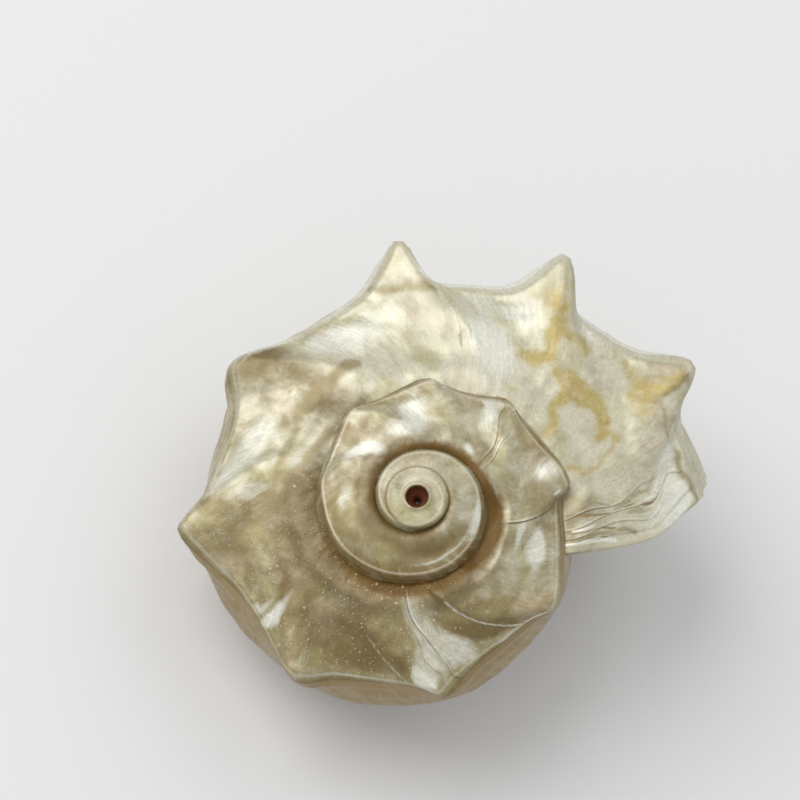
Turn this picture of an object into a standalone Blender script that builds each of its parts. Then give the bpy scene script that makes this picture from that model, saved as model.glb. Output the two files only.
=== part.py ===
"""A pearled dolphin shell: one grown piece, a hollow tube coiled round an axis, lying spire up on its base.

Metres, +Z up. The tube is modelled about its coiling axis, with the apex at the origin, and then laid down as
it rests. A growth angle is in degrees of coiling, clockwise as seen from the spire, and 0 is along +X.
"""

import math

import bmesh
import bpy
import numpy as np
from mathutils import Matrix, Vector

MM = 0.001

# The coil: a whorl is WHORL_RATIO times the size of the one before it.
KEEL_RADIUS = 11.6 * MM  # from the coiling axis to the shoulder keel, at growth angle 0
WHORL_RATIO = 2.06
SPIRE_START = -960.0
LIP_ANGLE = 357.0
SWELLING = (
    (-720.0, 0.92),
    (-560.0, 0.86),
    (-450.0, 0.93),
    (-390.0, 0.905),
    (-300.0, 0.975),
    (-200.0, 0.965),
    (-60.0, 1.0),
    (120.0, 1.03),
    (240.0, 0.985),
    (320.0, 0.98),
)  # (growth angle, share of the even spiral)

# The tube's outline in a plane through the axis, as (radius, height, lead). Radius and height are in keel
# radii, height from the apex. Lead is how many degrees of coiling the growth line there is ahead of the keel.
OUTLINE = (
    (0.475, -0.235, 22.0),  # tucked under the keel of the whorl before
    (0.640, -0.235, 16.0),
    (0.820, -0.270, 9.0),
    (0.930, -0.305, 3.5),
    (1.000, -0.340, 0.0),  # shoulder keel
    (1.025, -0.390, -2.0),
    (1.050, -0.480, -5.0),
    (1.070, -0.600, -9.0),
    (1.010, -0.800, -14.0),
    (0.880, -0.980, -18.0),
    (0.660, -1.090, -20.0),
    (0.460, -1.110, -19.0),
    (0.320, -1.030, -14.0),  # rim of the umbilicus
    (0.250, -0.820, -4.0),
    (0.310, -0.500, 14.0),
)
KEEL_POINT = 4
ROWS_PER_SPAN = 2

# The cavity's outline, in the same units. It keeps clear of the whorl before and widens towards the lip.
CAVITY = (
    (0.660, -0.315, 14.0),
    (0.800, -0.345, 8.0),
    (0.930, -0.430, 0.0),
    (0.985, -0.600, -8.0),
    (0.945, -0.790, -13.0),
    (0.830, -0.930, -17.0),
    (0.660, -1.005, -19.0),
    (0.470, -1.025, -18.0),
    (0.360, -0.960, -13.0),
    (0.330, -0.830, -4.0),
    (0.370, -0.680, 3.0),
    (0.470, -0.580, 6.0),
    (0.565, -0.470, 9.0),
)
CAVITY_START = -500.0  # the whorls before it are solid
CAVITY_PAST_LIP = 24.0
CAVITY_STEP = 14.0
FLARE_POINT = (0.50, -0.58)  # the flare widens the cavity about this point of its outline
FLARE = 0.10
FLARE_START = 230.0

# Shoulder spines, as (growth angle, reach past the keel, slope behind the tip, slope ahead, bluntness), the
# lengths in mm.
SPINES = (
    (-168.0, 0.15, 1.4, 1.3, 1.35),
    (-125.0, 0.80, 1.4, 2.0, 1.5),
    (-84.2, 0.90, 1.9, 1.6, 1.35),
    (-49.8, 0.85, 1.15, 2.3, 1.4),
    (-7.8, 1.15, 3.8, 0.8, 1.35),
    (37.3, 1.70, 3.0, 2.1, 1.2),
    (82.6, 1.90, 1.9, 2.0, 1.1),
    (125.8, 2.05, 2.0, 4.2, 1.6),
    (176.0, 3.50, 3.6, 3.0, 1.15),
    (219.9, 2.50, 1.9, 3.9, 1.7),
    (266.2, 4.30, 1.8, 1.7, 1.35),
    (299.0, 4.70, 1.2, 1.7, 1.4),
    (330.6, 3.70, 1.9, 2.25, 1.4),
)
SPINE_DEPTH = 2.4 * MM  # how far a spine's slopes run up and down the wall
SPINE_RISE = math.radians(6.0)

# Between its spines the keel stands in or out from the spiral, as (growth angle, mm outwards).
KEEL_TRIM = (
    (-60.0, 0.0),
    (20.0, -0.5),
    (65.0, -0.45),
    (110.0, -0.1),
    (150.0, -0.8),
    (195.0, -0.5),
    (240.0, -0.2),
    (285.0, 0.05),
    (320.0, 0.5),
    (345.0, -0.1),
)
TRIM_DEPTH = 5.0 * MM
FLANK = 0.4  # a spine also has a ring this share of the way down each slope

# Stretches of the wall, as (growth angle it starts at, degrees between its rings).
RING_STEPS = ((SPIRE_START, 24.0), (-360.0, 18.0), (0.0, 12.0))
RING_GAP = 2.4  # the least angle between two rings of the wall

# The worn apex: a flat disc with a round hole through it into the umbilicus.
DISC_RADIUS = 1.2 * MM
DISC_TOP = -0.32 * MM
DISC_BOTTOM = -3.5 * MM
HOLE_RADIUS = 0.93 * MM
HOLE_BOTTOM = -3.8 * MM
HOLE_TOP = 1.0 * MM
ROUND_SIDES = 32

# As it rests: the spire leans over until the base touches, and the touching points are worn flat.
LEAN = math.radians(17.0)
LEAN_TOWARDS = math.radians(191.0)
WEAR = 0.25 * MM
GROUND = (100.0 * MM, 100.0 * MM, 10.0 * MM)

NACRE = (0.60, 0.56, 0.42, 1.0)


def eased(angle, knots):
    """Eases from the value at one knot to the next, and holds the first and last values."""
    at, values = np.array(knots).T
    span = np.clip(np.searchsorted(at, angle) - 1, 0, len(at) - 2)
    share = np.clip((angle - at[span]) / (at[span + 1] - at[span]), 0.0, 1.0)
    return values[span] + (values[span + 1] - values[span]) * share**2 * (3 - 2 * share)


def keel_radius(angle):
    return eased(angle, SWELLING) * KEEL_RADIUS * WHORL_RATIO ** (angle / 360.0)


def closed_spline(knots):
    """Rows on the closed Catmull-Rom curve through the knots, ROWS_PER_SPAN to each span."""
    knots = np.array(knots)
    before, here, after, last = (np.roll(knots, shift, axis=0) for shift in (1, 0, -1, -2))
    rows = []
    for step in range(ROWS_PER_SPAN):
        t = step / ROWS_PER_SPAN
        square = 2 * before - 5 * here + 4 * after - last
        cube = 3 * here - before - 3 * after + last
        rows.append(0.5 * (2 * here + (after - before) * t + square * t**2 + cube * t**3))
    return np.stack(rows, axis=1).reshape(-1, knots.shape[1])


def around_axis(angle, radius, height):
    """Points at these growth angles, distances from the axis and heights."""
    turn = np.radians(-angle)
    return np.stack([radius * np.cos(turn), radius * np.sin(turn), height], axis=-1)


def spine_reach(angle, away):
    """How far the spines push out this growth line, at points this far along it from the keel."""
    total = 0.0
    for tip, reach, behind, ahead, bluntness in SPINES:
        along = np.radians(angle - tip) * keel_radius(tip)
        slope = (behind if along < 0 else ahead) * MM
        total += reach * MM * np.exp(-np.hypot(along / slope, away / SPINE_DEPTH) ** bluntness)
    return total


def wall_ring(angle):
    """The growth line whose keel is at this angle."""
    radius, height, lead = closed_spline(OUTLINE).T
    here = angle + lead
    size = keel_radius(here)
    keel = KEEL_POINT * ROWS_PER_SPAN
    away = np.hypot(radius - radius[keel], height - height[keel]) * size
    reach = spine_reach(angle, away)
    trim = eased(angle, KEEL_TRIM) * MM * np.exp(-((away / TRIM_DEPTH) ** 2))
    out, up = reach * math.cos(SPINE_RISE) + trim, reach * math.sin(SPINE_RISE)
    return around_axis(here, radius * size + out, height * size + up)


def cavity_ring(angle):
    radius, height, lead = closed_spline(CAVITY).T
    flare = FLARE * np.clip((angle - FLARE_START) / (LIP_ANGLE - FLARE_START), 0.0, 1.0)
    radius = radius + (radius - FLARE_POINT[0]) * flare
    height = height + (height - FLARE_POINT[1]) * flare
    here = angle + lead
    size = keel_radius(here)
    return around_axis(here, radius * size, height * size)


def wall_angles():
    """Growth angles for the wall's rings: closer together on the last whorl, and at every spine."""
    angles = [LIP_ANGLE]
    ends = [start for start, _ in RING_STEPS[1:]] + [LIP_ANGLE]
    for (start, step), end in zip(RING_STEPS, ends):
        angles += list(np.arange(start, end, step))
    for tip, _, behind, ahead, _ in SPINES:
        per_mm = math.degrees(MM / keel_radius(tip))
        angles.append(tip)
        if tip > 0:
            angles += [tip - behind * per_mm, tip - FLANK * behind * per_mm]
            angles += [tip + FLANK * ahead * per_mm, tip + ahead * per_mm]
    must_keep = {tip for tip, *_ in SPINES} | {LIP_ANGLE}
    kept = []
    for angle in sorted(a for a in angles if a <= LIP_ANGLE):
        if kept and angle - kept[-1] < RING_GAP:
            if angle not in must_keep:
                continue
            kept.pop()
        kept.append(angle)
    return kept


def mesh_object(name, mesh, collection, parent=None):
    data = bpy.data.meshes.new(name)
    mesh.to_mesh(data)
    mesh.free()
    made = bpy.data.objects.new(name, data)
    made.parent = parent
    collection.objects.link(made)
    return made


def loft(rings):
    """A closed tube through rings of points, capped at both ends."""
    mesh = bmesh.new()
    loops = [[mesh.verts.new(point) for point in ring] for ring in rings]
    around = range(len(rings[0]))
    for first, second in zip(loops, loops[1:]):
        for i in around:
            mesh.faces.new((first[i - 1], first[i], second[i], second[i - 1]))
    for loop in (loops[0], loops[-1]):
        centre = mesh.verts.new(sum((v.co for v in loop), Vector()) / len(loop))
        for i in around:
            mesh.faces.new((loop[i - 1], loop[i], centre))
    bmesh.ops.recalc_face_normals(mesh, faces=mesh.faces)
    return mesh


def cylinder(radius, bottom, top):
    mesh = bmesh.new()
    bmesh.ops.create_cone(
        mesh, cap_ends=True, segments=ROUND_SIDES, radius1=radius, radius2=radius, depth=top - bottom,
        matrix=Matrix.Translation((0, 0, (top + bottom) / 2)),
    )
    return mesh


def combine(body, other, operation):
    """A Boolean of body with a helper object."""
    boolean = body.modifiers.new(other.name, "BOOLEAN")
    boolean.operation = operation
    boolean.object = other
    boolean.solver = "EXACT"
    boolean.use_self = True
    other.hide_render = True
    other.display_type = "WIRE"


def nacre():
    material = bpy.data.materials.new("nacre")
    material.use_nodes = True
    surface = material.node_tree.nodes["Principled BSDF"]
    surface.inputs["Base Color"].default_value = NACRE
    surface.inputs["Roughness"].default_value = 0.3
    surface.inputs["Metallic"].default_value = 0.15
    return material


def lay_down(axis, rings):
    """Leans the coiling axis, and centres the shell on the origin with its base worn level."""
    lean = Matrix.Rotation(LEAN, 3, Vector((-math.sin(LEAN_TOWARDS), math.cos(LEAN_TOWARDS), 0)))
    points = np.concatenate(rings) @ np.array(lean).T
    low, high = points.min(axis=0), points.max(axis=0)
    axis.matrix_world = Matrix.Translation((-(low[0] + high[0]) / 2, -(low[1] + high[1]) / 2, -low[2] - WEAR))
    axis.matrix_world = axis.matrix_world @ lean.to_4x4()


def main():
    for old in list(bpy.data.objects):
        bpy.data.objects.remove(old)
    parts = bpy.data.collections.new("dolphin_shell")
    cutters = bpy.data.collections.new("cutters")
    for collection in (parts, cutters):
        bpy.context.scene.collection.children.link(collection)

    rings = [wall_ring(angle) for angle in wall_angles()]
    axis = bpy.data.objects.new("coiling_axis", None)
    parts.objects.link(axis)
    lay_down(axis, rings)

    shell = mesh_object("shell", loft(rings), parts, axis)
    shell.data.materials.append(nacre())

    disc = mesh_object("apex_disc", cylinder(DISC_RADIUS, DISC_BOTTOM, DISC_TOP), cutters, axis)
    combine(shell, disc, "UNION")
    cavity_angles = np.arange(CAVITY_START, LIP_ANGLE + CAVITY_PAST_LIP, CAVITY_STEP)
    cavity = mesh_object("cavity", loft([cavity_ring(angle) for angle in cavity_angles]), cutters, axis)
    combine(shell, cavity, "DIFFERENCE")
    hole = mesh_object("apex_hole", cylinder(HOLE_RADIUS, HOLE_BOTTOM, HOLE_TOP), cutters, axis)
    combine(shell, hole, "DIFFERENCE")

    ground = bmesh.new()
    block = Matrix.LocRotScale((0, 0, -GROUND[2] / 2), None, GROUND)
    bmesh.ops.create_cube(ground, size=1.0, matrix=block)
    combine(shell, mesh_object("worn_level", ground, cutters), "DIFFERENCE")


main()
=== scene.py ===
"""A pearled dolphin shell, lying spire up on its base in soft studio light.

The shell is one grown piece. It is lofted in its own frame, about its coiling axis and with the apex at
the origin, and then laid down where the CAD solid lies. A growth angle is in degrees of coiling, clockwise
as seen from the spire, and 0 is along the shell's own +X. A row says how far round the tube's outline a
point is, counted in the knots of OUTLINE.
"""

import math

import bmesh
import bpy
import numpy as np
from mathutils import Matrix, Vector, kdtree, noise


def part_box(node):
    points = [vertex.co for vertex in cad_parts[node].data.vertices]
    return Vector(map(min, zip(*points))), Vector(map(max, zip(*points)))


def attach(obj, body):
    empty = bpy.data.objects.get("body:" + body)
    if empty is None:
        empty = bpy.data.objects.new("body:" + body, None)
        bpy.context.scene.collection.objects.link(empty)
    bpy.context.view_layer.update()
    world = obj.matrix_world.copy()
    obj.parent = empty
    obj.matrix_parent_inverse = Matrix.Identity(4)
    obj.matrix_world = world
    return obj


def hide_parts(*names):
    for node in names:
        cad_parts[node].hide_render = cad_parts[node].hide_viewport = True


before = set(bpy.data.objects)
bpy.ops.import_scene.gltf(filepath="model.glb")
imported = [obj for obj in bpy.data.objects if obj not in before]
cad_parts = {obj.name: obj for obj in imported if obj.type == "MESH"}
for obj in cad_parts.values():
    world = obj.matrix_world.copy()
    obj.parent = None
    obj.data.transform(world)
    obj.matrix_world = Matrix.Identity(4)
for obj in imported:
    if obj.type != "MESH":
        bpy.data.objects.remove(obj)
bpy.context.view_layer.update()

MM = 0.001

# The coil. The keel is the corner between the shoulder and the wall, where the spines stand.
KEEL_RADIUS = 11.6 * MM  # at growth angle 0
WHORL_RATIO = 2.06
SPIRE_START = -960.0
LIP_ANGLE = 357.0
SWELLING = (
    (-720.0, 0.92),
    (-560.0, 0.86),
    (-450.0, 0.93),
    (-390.0, 0.905),
    (-300.0, 0.975),
    (-200.0, 0.965),
    (-60.0, 1.0),
    (120.0, 1.03),
    (240.0, 0.985),
    (320.0, 0.98),
)  # (growth angle, share of the even spiral)

# The tube's outline, as (radius, height, lead): keel radii from the axis and up from the apex, and how many
# degrees of coiling the growth line there is ahead of the keel. The suture is at row 0.
OUTLINE = (
    (0.440, -0.235, 22.0),
    (0.640, -0.235, 16.0),
    (0.820, -0.270, 9.0),
    (0.930, -0.305, 3.5),
    (1.000, -0.340, 0.0),
    (1.025, -0.390, -2.0),
    (1.050, -0.480, -5.0),
    (1.070, -0.600, -9.0),
    (1.010, -0.800, -14.0),
    (0.880, -0.980, -18.0),
    (0.660, -1.090, -20.0),
    (0.460, -1.110, -19.0),
    (0.320, -1.030, -14.0),
    (0.250, -0.820, -4.0),
    (0.310, -0.500, 14.0),
)
KEEL = 4.0  # the keel's row
POINTS_IN_SPAN = (10, 13, 10, 10, 6, 5, 5, 7, 7, 7, 6, 5, 4, 3, 4)  # mesh points from each knot to the next

# Shoulder spines, as (growth angle, reach past the keel, length behind the tip, length ahead of it,
# bluntness), with the lengths in mm.
SPINES = (
    (-168.0, 0.15, 1.4, 1.3, 1.35),
    (-125.0, 0.80, 1.4, 2.0, 1.5),
    (-84.2, 0.90, 1.9, 1.6, 1.35),
    (-49.8, 0.85, 1.15, 2.3, 1.4),
    (-7.8, 1.15, 3.8, 0.8, 1.35),
    (37.3, 1.70, 3.0, 2.1, 1.2),
    (82.6, 1.90, 1.9, 2.0, 1.1),
    (125.8, 2.05, 2.0, 4.2, 1.6),
    (176.0, 3.50, 3.6, 3.0, 1.15),
    (219.9, 2.50, 1.9, 3.9, 1.7),
    (266.2, 4.30, 1.8, 1.7, 1.35),
    (299.0, 4.70, 1.2, 1.7, 1.4),
    (330.6, 3.70, 1.9, 2.25, 1.4),
)
SPINE_DEPTH = 2.4 * MM  # how far from the keel a spine fades out
SPINE_RISE = math.radians(6.0)
KEEL_TRIM = (
    (-720.0, -0.35),
    (-630.0, -0.45),
    (-540.0, -0.25),
    (-450.0, -0.35),
    (-380.0, 0.0),
    (-340.0, -0.1),
    (-300.0, -0.25),
    (-260.0, -0.35),
    (-200.0, -0.1),
    (-60.0, 0.0),
    (20.0, -0.5),
    (65.0, -0.45),
    (110.0, -0.1),
    (150.0, -0.8),
    (195.0, -0.5),
    (240.0, -0.2),
    (285.0, 0.05),
    (320.0, 0.5),
    (345.0, -0.1),
)  # (growth angle, mm outwards)
TRIM_DEPTH = 5.0 * MM  # how far from the keel it fades out

# The hollow's outline, like OUTLINE. Towards the lip it widens about FLARE_POINT, by FLARE in all and by
# LIP_FLARE more where it passes the lip.
CAVITY = (
    (0.660, -0.315, 14.0),
    (0.800, -0.345, 8.0),
    (0.930, -0.430, 0.0),
    (0.985, -0.600, -8.0),
    (0.945, -0.790, -13.0),
    (0.830, -0.930, -17.0),
    (0.660, -1.005, -19.0),
    (0.470, -1.025, -18.0),
    (0.360, -0.960, -13.0),
    (0.330, -0.830, -4.0),
    (0.370, -0.680, 3.0),
    (0.470, -0.580, 6.0),
    (0.565, -0.470, 9.0),
)
CAVITY_START = -230.0
CAVITY_END = 381.0
CAVITY_RINGS = 3.0  # degrees from ring to ring
CAVITY_POINTS = 0.25  # rows from point to point
FLARE_POINT = (0.50, -0.58)
FLARE = 0.10
FLARE_START = 230.0
LIP_FLARE = 0.03
LIP_FLARE_DEGREES = 6.0  # either side of the lip

# Where it lies: the apex from the middle of the CAD solid's box and above its base, and how the axis leans.
APEX_FROM_MIDDLE = (-4.82 * MM, -4.37 * MM)
APEX_HEIGHT = 20.61 * MM
LEAN = math.radians(17.0)
LEAN_TOWARDS = math.radians(191.0)

# Rings, as (growth angle, degrees apart from there on). The tube is lofted in lengths that don't overlap
# themselves, from seam to seam, and these are joined.
RING_STEPS = ((SPIRE_START, 10.0), (-720.0, 4.0), (-360.0, 2.0), (0.0, 1.0), (240.0, 0.7))
SEAMS = (-720.0, -430.0, -140.0, 120.0)
LIP_RINGS = 6  # where the lip is rounded

# Growth steps, where the shell stopped growing for a while, as (growth angle, step in mm, first row, last
# row, waviness in degrees, waves along it, phase).
STEPS = (
    (-52.0, 0.07, 0.8, 4.2, 1.6, 1.5, 0.3),
    (-46.5, 0.05, 0.8, 4.2, 1.2, 2.1, 1.9),
    (-3.0, 0.12, 1.0, 5.0, 1.0, 0.9, 0.5),
    (76.6, 0.11, 0.5, 4.2, 1.3, 1.3, 0.9),
    (80.4, 0.04, 1.2, 4.0, 0.9, 1.9, 2.6),
    (271.0, 0.05, 1.6, 4.5, 1.2, 0.8, 1.2),
    (337.0, 0.04, 2.2, 4.4, 0.8, 1.0, 0.4),
    (343.6, 0.06, 0.2, 2.2, 1.3, 1.6, 2.4),
    (347.2, 0.05, 0.2, 4.2, 1.2, 2.7, 0.2),
    (350.6, 0.05, 0.2, 2.4, 0.8, 1.3, 1.1),
    (353.6, 0.03, 0.2, 10.0, 0.6, 4.0, 2.7),
)
STEP_FADE = 5.0  # degrees of coiling over which the surface rises again after a step
STEP_WIDTH = 0.06  # degrees either side of the step
STEP_CLEARANCE = 4 * STEP_WIDTH  # no other ring comes this close
STEP_ENDS = 0.35  # rows over which a step fades at its ends
SWELL = 0.25  # how much it swells before a step, as a share of the step
SWELL_FADE = 0.3 * STEP_FADE
WAVE_REACH = 4.0  # degrees from the step over which the growth lines follow its waves
WAVE_ENDS = 0.5  # rows
STEP_SHADE_DEPTH = 0.12  # mm; the painted shade at a step this high is the darkest
STEP_SHADE_FADE = (0.85, 0.9, 2.3)  # the share of its painted shade that a step loses, from row to row

# Folds across the shoulder, as (growth angle, row, slant in degrees a row, height in mm, degrees it rises
# over, degrees it falls over, half its length in rows).
FOLDS = (
    (49.0, 2.2, -7.0, 0.30, 8.0, 1.6, 1.7),
    (95.0, 2.6, -4.7, 0.12, 6.0, 2.0, 1.4),
    (-14.0, 3.4, 0.0, 0.15, 8.0, 2.5, 1.2),
    (20.0, 2.2, -2.0, 0.12, 9.0, 2.5, 1.2),
)
CHANNEL = (4.0, 0.45, 30.0, 0.42, 0.55)  # growth angle, row, half its length and width, depth in mm
BROAD = 3.0  # powers of bumps; a round one's is 2
FLAT_TOPPED = 4.0

# The spire is worn flat this far below the apex, lower by WHORL_STEP with each whorl. COLLAR is the rim
# that is left round the disc, as (first and last growth angle, degrees it fades over, row, half its width,
# height in mm).
WORN_TOP = 0.72 * MM
WORN_EDGE = 0.06 * MM
WHORL_STEP = 0.06 * MM
COLLAR = (-385.0, -205.0, 18.0, 0.55, 0.22, 0.24)
GROUND = (100.0 * MM, 100.0 * MM, 10.0 * MM)  # takes off what would lie below the base

LIP_ROUND = 0.22 * MM  # how far the outside of the lip is rounded back
LIP_ROUND_DEGREES = 0.9

# Relief, in keel radii: ribs that run in from the spines, a cord along the suture, a thin rim along the
# keel and cords round the base. A rib's crest has turned by RIB_LEAD degrees where it meets the suture.
# A line is (row, half width), and a stretch is (first row, last row, softness).
RIB_LEAD = 16.0
RIB_BEHIND = 0.24
RIB_AHEAD = 0.13
RIB_SHARPNESS = 1.8
RIB_CURVE = 1.2
RIB_HEIGHT = 0.026
RIB_LEVEL = 0.35  # how far up a rib the even wall is
RIBS_FROM = (-220.0, -150.0)
CORD_HEIGHT = 0.014
CORD_LINE = (0.8, 0.3)
RIM_HEIGHT = 0.005
RIM_LINE = (3.75, 0.25)
CORDS_FROM = (-640.0, -560.0)
BASE_CORD_HEIGHT = 0.009
BASE_CORD_SHARPNESS = 1.5
SHOULDER = (1.2, 5.2, 0.9)
BASE = (4.7, 12.0, 0.3)

# Unevenness, as (height, size, noise seed), with the height and size in mm.
UNDULATION = (0.16, 4.0, 1)  # on the shoulder only
DIMPLES = ((0.07, 1.6, 2), (0.025, 0.7, 3))
CRUST = (0.10, 0.5, 4)
CRUST_PLACE = (150.0, 45.0, 0.3, 0.6)  # growth angle, half its length, row, half its width
UNEVEN_FROM = (-500.0, -200.0)
SEED_STEP = (17.3, 5.1, 29.7)  # how far apart the noise of two seeds is

GROWTH_PER_RADIUS = 1.0 / 0.115  # the keel's length from the spiral's pole, in keel radii

# The disc worn over the first whorls and the hole in it, turned about the axis, as (radius, height) in mm.
DISC_PROFILE = (
    (2.60, -3.50),
    (2.60, -0.86),
    (2.56, -0.77),
    (2.46, -0.72),
    (2.25, -0.70),
    (2.05, -0.715),
    (1.60, -0.70),
    (1.36, -0.71),
    (1.24, -0.68),
    (1.16, -0.63),
    (1.06, -0.61),
    (0.80, -0.61),
)
HOLE_PROFILE = (
    (0.28, -3.80),
    (0.30, -2.00),
    (0.55, -1.75),
    (0.80, -1.55),
    (0.88, -1.30),
    (0.90, -1.00),
    (0.91, -0.78),
    (0.94, -0.69),
    (1.00, -0.62),
    (1.05, -0.55),
    (1.05, 1.00),
)
ROUND_SIDES = 96
HOLE_EDGE = 0.93 * MM  # within this radius and below HOLE_MOUTH, the surface is the hole's
HOLE_MOUTH = -0.71 * MM
SHARP_ANGLE = math.radians(50.0)

# The nacre's colours, with the painted shade put in its creases and hole.
CREAM = (0.587, 0.563, 0.423)
WHITE = (0.755, 0.76, 0.665)
KHAKI = (0.26, 0.205, 0.085)
OLIVE = (0.165, 0.112, 0.034)
# Painted shade beside the suture.
DUSK = (0.14, 0.095, 0.030)
AMBER = (0.43, 0.335, 0.11)
RUST = (0.24, 0.125, 0.035)
UMBER = (0.23, 0.165, 0.065)
BARK = (0.33, 0.235, 0.105)
# Painted shade for the suture's crease, the channel and the spire's lower wall.
CREVICE_SHADE = (0.14, 0.076, 0.010)
GREEN = (0.42, 0.385, 0.16)
PINK = (0.55, 0.45, 0.32)
# Painted shade down the hole.
HOLE_SHADE = (0.20, 0.07, 0.03)
LINING = (0.68, 0.62, 0.50)
GLOW = (0.56, 0.58, 0.42)
GOLD = (0.25, 0.175, 0.05)

# The camera, in the shell's own frame: how many degrees off the coiling axis it stands, on which growth
# angle's side, and what it looks at.
VIEW_TILT = 17.0
VIEW_TOWARDS = 84.0
VIEW_TARGET = (-1.30 * MM, 7.43 * MM, 1.70 * MM)
VIEW_DISTANCE = 300.0 * MM
LENS = 166.9  # mm
NEAREST = 0.01

# Softboxes, as (name, direction from the shell, distance and size in metres, watts).
SOFTBOXES = (
    ("key", (-0.60, 0.33, 0.8), 0.9, 0.66, 4.4),
    ("fill", (0.45, 0.55, 0.75), 0.9, 0.60, 0.9),
)
STUDIO = (0.585, 0.585, 0.59, 1.0)  # the light from all round
FLOOR_COLOUR = (0.8, 0.8, 0.8)
FLOOR_ROUGHNESS = 0.8
FLOOR_REACH = 2.0  # metres each way

# Patches of colour, as (growth angle, row, half its length in degrees, half its height in rows, slant in
# degrees a row, strength). The white ones are partly pale nacre and mostly painted highlights, where facets
# catch the key light; the olive ones are partly the nacre's own olive and partly painted shade, where facets
# face away from it.
PALE_AND_HIGHLIGHT_PATCHES = (
    (-349.0, 1.6, 14.0, 0.9, 0.0, 0.45),
    (-300.0, 2.45, 38.0, 0.28, 0.0, 0.6),
    (-188.0, 1.75, 13.0, 0.6, 0.0, 0.55),
    (-148.0, 1.5, 8.5, 1.0, -5.0, 1.0),
    (-112.0, 1.1, 17.0, 0.5, 0.0, 0.75),
    (-101.0, 2.0, 9.0, 0.8, 3.0, 0.9),
    (-95.0, 3.3, 5.0, 0.6, 0.0, 0.6),
    (-82.0, 3.8, 4.0, 0.5, 4.0, 0.7),
    (-64.0, 0.65, 7.0, 0.22, 0.0, 0.8),
    (-57.5, 2.8, 6.0, 1.3, 1.0, 0.85),
    (-56.0, 3.5, 5.0, 0.6, 0.0, 0.7),
    (-47.0, 1.9, 2.5, 1.1, 1.5, 0.5),
    (-34.0, 1.8, 4.5, 0.5, 0.0, 0.3),
    (-19.5, 3.0, 5.5, 1.1, 2.0, 0.85),
    (-20.0, 0.55, 18.0, 0.14, 0.0, 0.8),
    (6.0, 1.5, 12.0, 0.16, 0.0, 0.7),
    (14.5, 2.4, 10.5, 0.55, 2.5, 0.95),
    (20.0, 3.4, 8.0, 0.35, 0.0, 0.5),
    (55.0, 3.85, 9.0, 0.22, 0.0, 0.6),
    (69.5, 2.7, 5.5, 1.5, 0.0, 0.7),
    (78.0, 1.7, 6.0, 1.6, 1.5, 0.6),
    (85.5, 3.3, 3.0, 0.8, 2.5, 0.8),
    (110.0, 3.8, 14.0, 0.2, 0.0, 0.45),
    (139.0, 3.0, 2.6, 1.2, 3.5, 0.95),
    (144.5, 3.2, 1.4, 1.0, 3.5, 0.6),
    (148.0, 3.6, 1.4, 0.6, 3.5, 0.45),
    (177.0, 1.9, 4.0, 0.6, 3.0, 0.5),
    (186.0, 0.95, 7.0, 0.25, 0.0, 0.5),
    (197.0, 2.4, 13.0, 0.8, 3.0, 0.6),
    (198.0, 0.7, 12.0, 0.25, 0.0, 0.35),
    (228.0, 3.7, 9.0, 0.3, 0.0, 0.7),
    (248.0, 2.4, 14.0, 1.0, 3.0, 0.5),
    (285.0, 1.2, 12.0, 0.8, 0.0, 0.4),
    (282.0, 3.2, 9.0, 0.6, 0.0, 0.5),
    (310.0, 3.3, 8.0, 0.6, 0.0, 0.5),
    (268.6, 3.25, 1.9, 0.28, 0.0, 1.0),
    (281.0, 1.7, 8.0, 0.9, 0.0, 0.8),
    (292.0, 2.8, 5.0, 0.6, 0.0, 0.7),
    (239.0, 2.6, 8.0, 0.9, 2.0, 0.4),
    (350.0, 2.5, 9.0, 0.9, 0.0, 0.62),
    (353.5, 3.0, 5.0, 0.65, 0.0, 1.0),
    (350.0, 1.2, 9.0, 0.5, 0.0, 0.25),
    (-125.0, 1.5, 8.0, 0.6, 0.0, 0.25),
    (292.0, 4.8, 60.0, 0.9, 0.0, 0.75),
    (238.0, 2.5, 8.0, 0.6, 0.0, 0.6),
    (189.0, 3.0, 7.0, 0.8, 2.0, 0.2),
    (77.0, 3.1, 4.5, 0.8, 1.5, 0.35),
    (196.0, 6.2, 9.0, 1.2, 3.0, 0.45),
    (246.0, 6.8, 10.0, 1.5, 3.0, 0.5),
    (296.0, 6.9, 12.0, 1.3, -2.0, 0.5),
    (332.0, 6.0, 7.0, 1.4, 2.0, 0.5),
    (-345.0, 3.2, 26.0, 0.8, 0.0, 0.9),
    (342.0, 2.9, 4.0, 0.5, 0.0, 0.6),
    (186.0, 3.0, 6.0, 0.7, 0.0, 0.5),
)
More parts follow.
